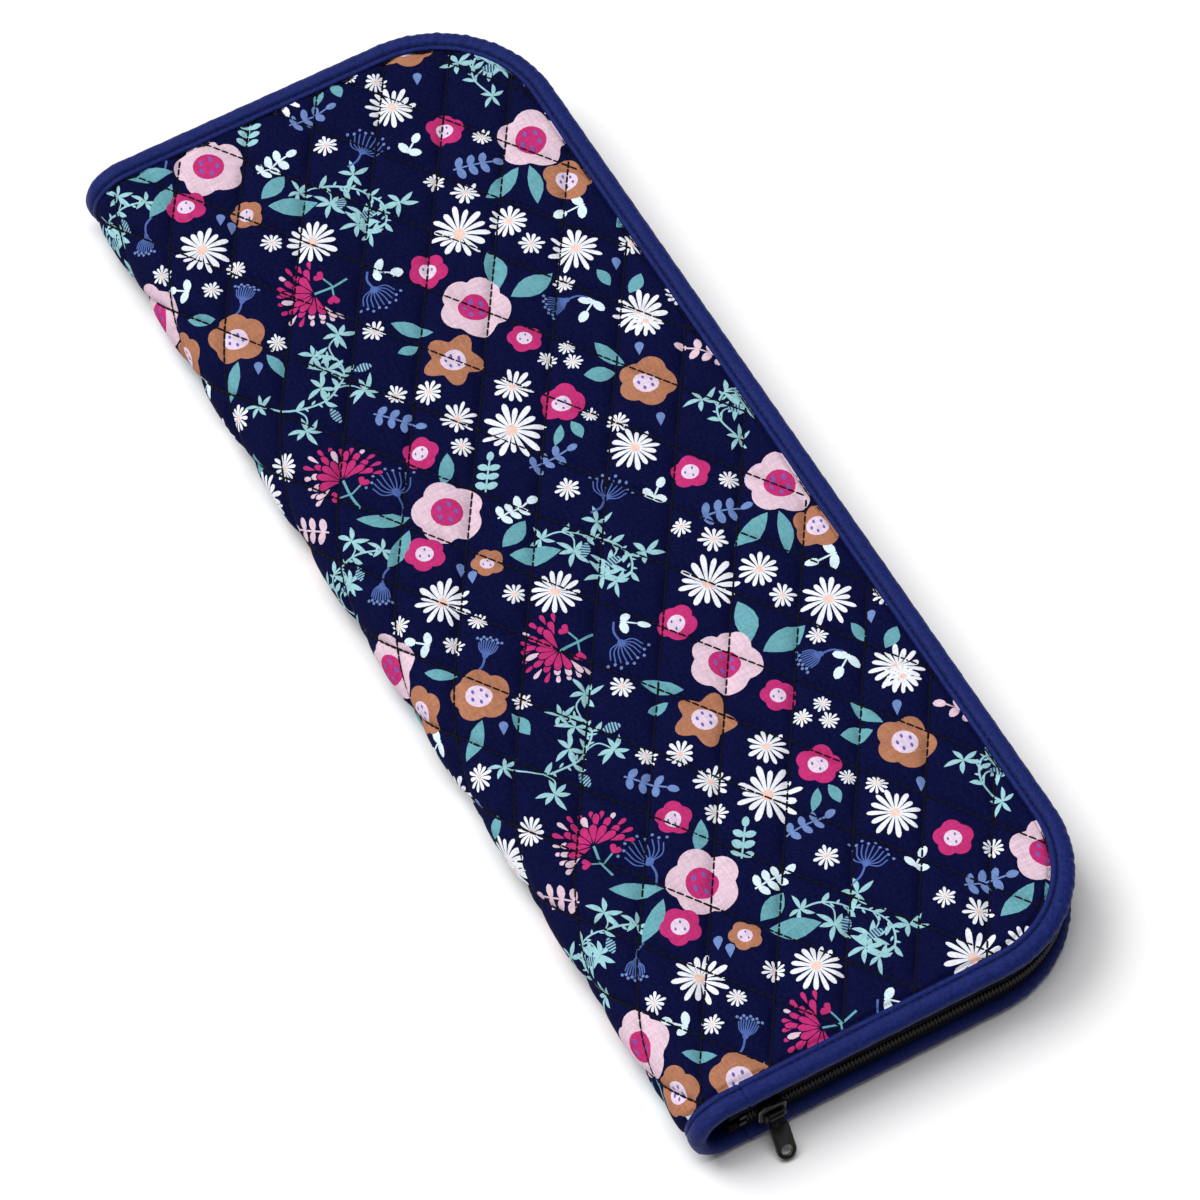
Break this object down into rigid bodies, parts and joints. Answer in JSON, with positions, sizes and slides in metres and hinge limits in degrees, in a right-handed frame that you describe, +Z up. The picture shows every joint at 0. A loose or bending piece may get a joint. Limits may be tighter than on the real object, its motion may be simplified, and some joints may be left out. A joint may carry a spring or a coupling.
{
  "type": "quilted knitting needle case",
  "caption": "Long zip-around quilted cloth case with a soft printed cover, bound edges, a folding spine and a zip with slider and pull.",
  "frame": {"origin": "centre of the underside of the closed case, on the plane it rests on, without the zip pull", "axes": "+X along the case away from the zip pull, +Y towards the spine, +Z up through the case"},
  "size_m": [0.4216, 0.156, 0.028],
  "materials": {
    "printed_quilt": "quilted woven cotton, navy ground with an all-over small flower print",
    "navy_binding": "smooth bias tape with a soft sheen",
    "lining_cloth": "plain woven lining",
    "stiffener_board": "thin stiffening board, hidden",
    "zip_tape": "woven polyester zip tape",
    "zip_coil": "nylon coil",
    "zip_stop": "black enamelled stop",
    "black_elastic": "woven elastic",
    "slider_enamel": "black enamelled zinc",
    "pull_metal": "dark metal, polished edges"
  },
  "bodies": {
    "back_cover": {"back_quilt": "printed_quilt", "back_board": "stiffener_board", "back_lining": "lining_cloth", "back_binding": "navy_binding", "zip_tape_lower": "zip_tape", "zip_coil_lower": "zip_coil", "zip_top_stop_lower": "zip_stop", "zip_bottom_stop": "zip_stop", "needle_band_near": "black_elastic", "needle_band_far": "black_elastic"},
    "spine": {"spine_quilt": "printed_quilt", "spine_lining": "lining_cloth", "spine_binding_near": "navy_binding", "spine_binding_far": "navy_binding"},
    "front_cover": {"front_quilt": "printed_quilt", "front_board": "stiffener_board", "front_lining": "lining_cloth", "front_binding": "navy_binding", "zip_tape_upper": "zip_tape", "zip_coil_upper": "zip_coil", "zip_top_stop_upper": "zip_stop", "pocket_panel": "lining_cloth", "pocket_hem": "navy_binding"},
    "slider": {"zip_slider": "slider_enamel"},
    "pull": {"zip_pull": "pull_metal"}
  },
  "joints": [
    {"name": "spine_fold", "type": "hinge", "parent": "back_cover", "child": "spine", "pos_m": [0, 0.075, 0.003], "axis": [-1, 0, 0], "range_deg": [0, 90]},
    {"name": "front_cover_fold", "type": "hinge", "parent": "spine", "child": "front_cover", "pos_m": [0, 0.075, 0.025], "axis": [-1, 0, 0], "range_deg": [0, 90]},
    {"name": "slider_run", "type": "slide", "parent": "back_cover", "child": "slider", "axis": [0, -1, 0], "range_m": [0, 0.078]},
    {"name": "pull_swing", "type": "hinge", "parent": "slider", "child": "pull", "pos_m": [-0.2069, 0.05, 0.014], "axis": [0, 1, 0], "range_deg": [0, 140]}
  ]
}
